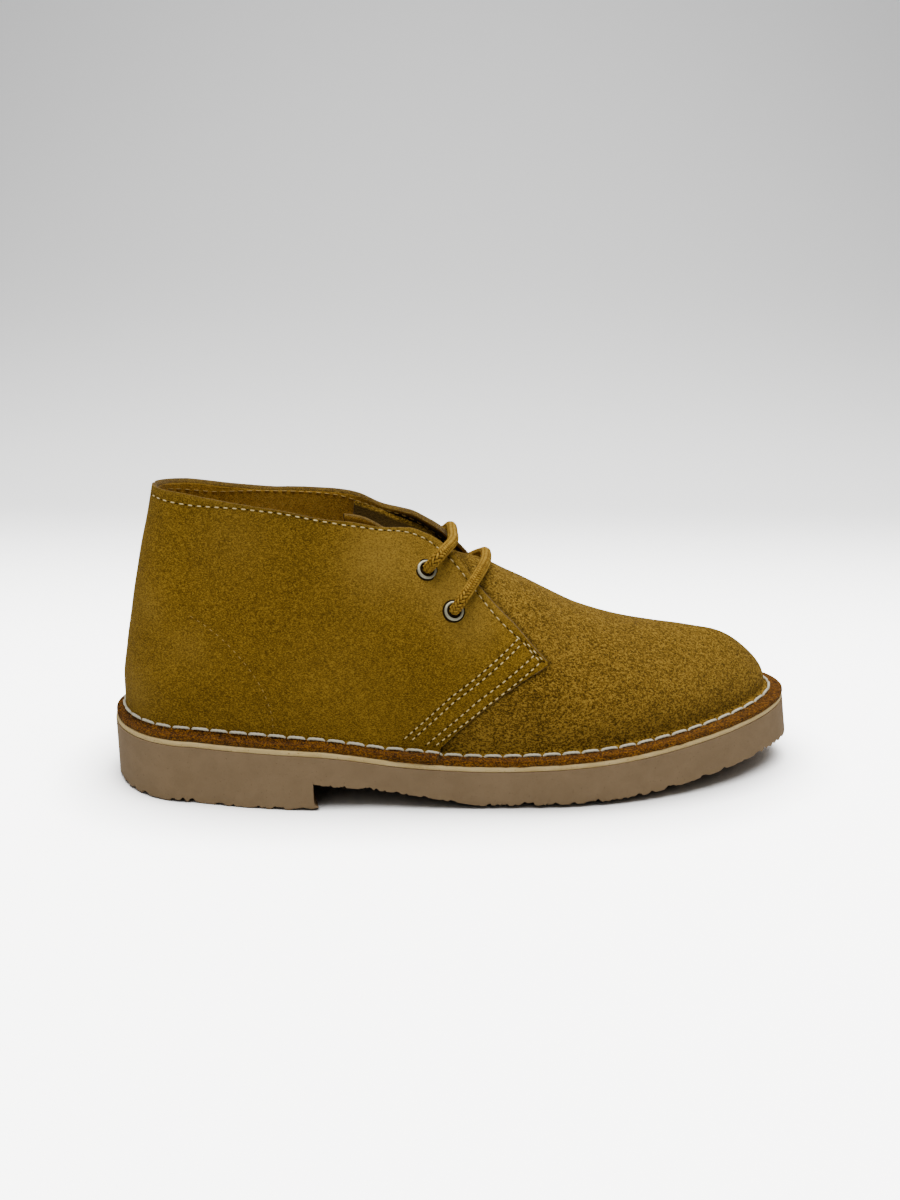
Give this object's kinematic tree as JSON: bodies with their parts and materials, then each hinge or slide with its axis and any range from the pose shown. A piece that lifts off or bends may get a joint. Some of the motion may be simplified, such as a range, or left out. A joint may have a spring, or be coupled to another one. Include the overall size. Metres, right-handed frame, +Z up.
{
  "type": "desert boot",
  "caption": "Low suede lace-up ankle boot, right foot, with a stitched-out flange, thin midsole and a crepe-like rubber sole with a low heel; it stands open and empty.",
  "frame": {"origin": "centre of the boot's footprint, on the floor that it stands on", "axes": "+X from heel to toe, +Y to the medial (inner) side, +Z up"},
  "size_m": [0.303, 0.099, 0.1282],
  "materials": {
    "suede": "napped golden olive-brown suede, raw cut edges lighter",
    "suede_tongue": "napped suede",
    "crepe_rubber": "matte taupe, crinkled tread",
    "midsole_cream": "matte cream",
    "insole_leather": "smooth tan leather",
    "eyelet_metal": "satin, pale",
    "lace_cord": "round braid, olive-gold with flecks"
  },
  "bodies": {
    "root": {"outsole": "crepe_rubber", "midsole": "midsole_cream", "insole": "insole_leather", "upper": "suede", "tongue": "suede_tongue", "eyelet_upper_lateral": "eyelet_metal", "eyelet_lower_lateral": "eyelet_metal", "eyelet_upper_medial": "eyelet_metal", "eyelet_lower_medial": "eyelet_metal", "lace": "lace_cord"}
  },
  "joints": []
}
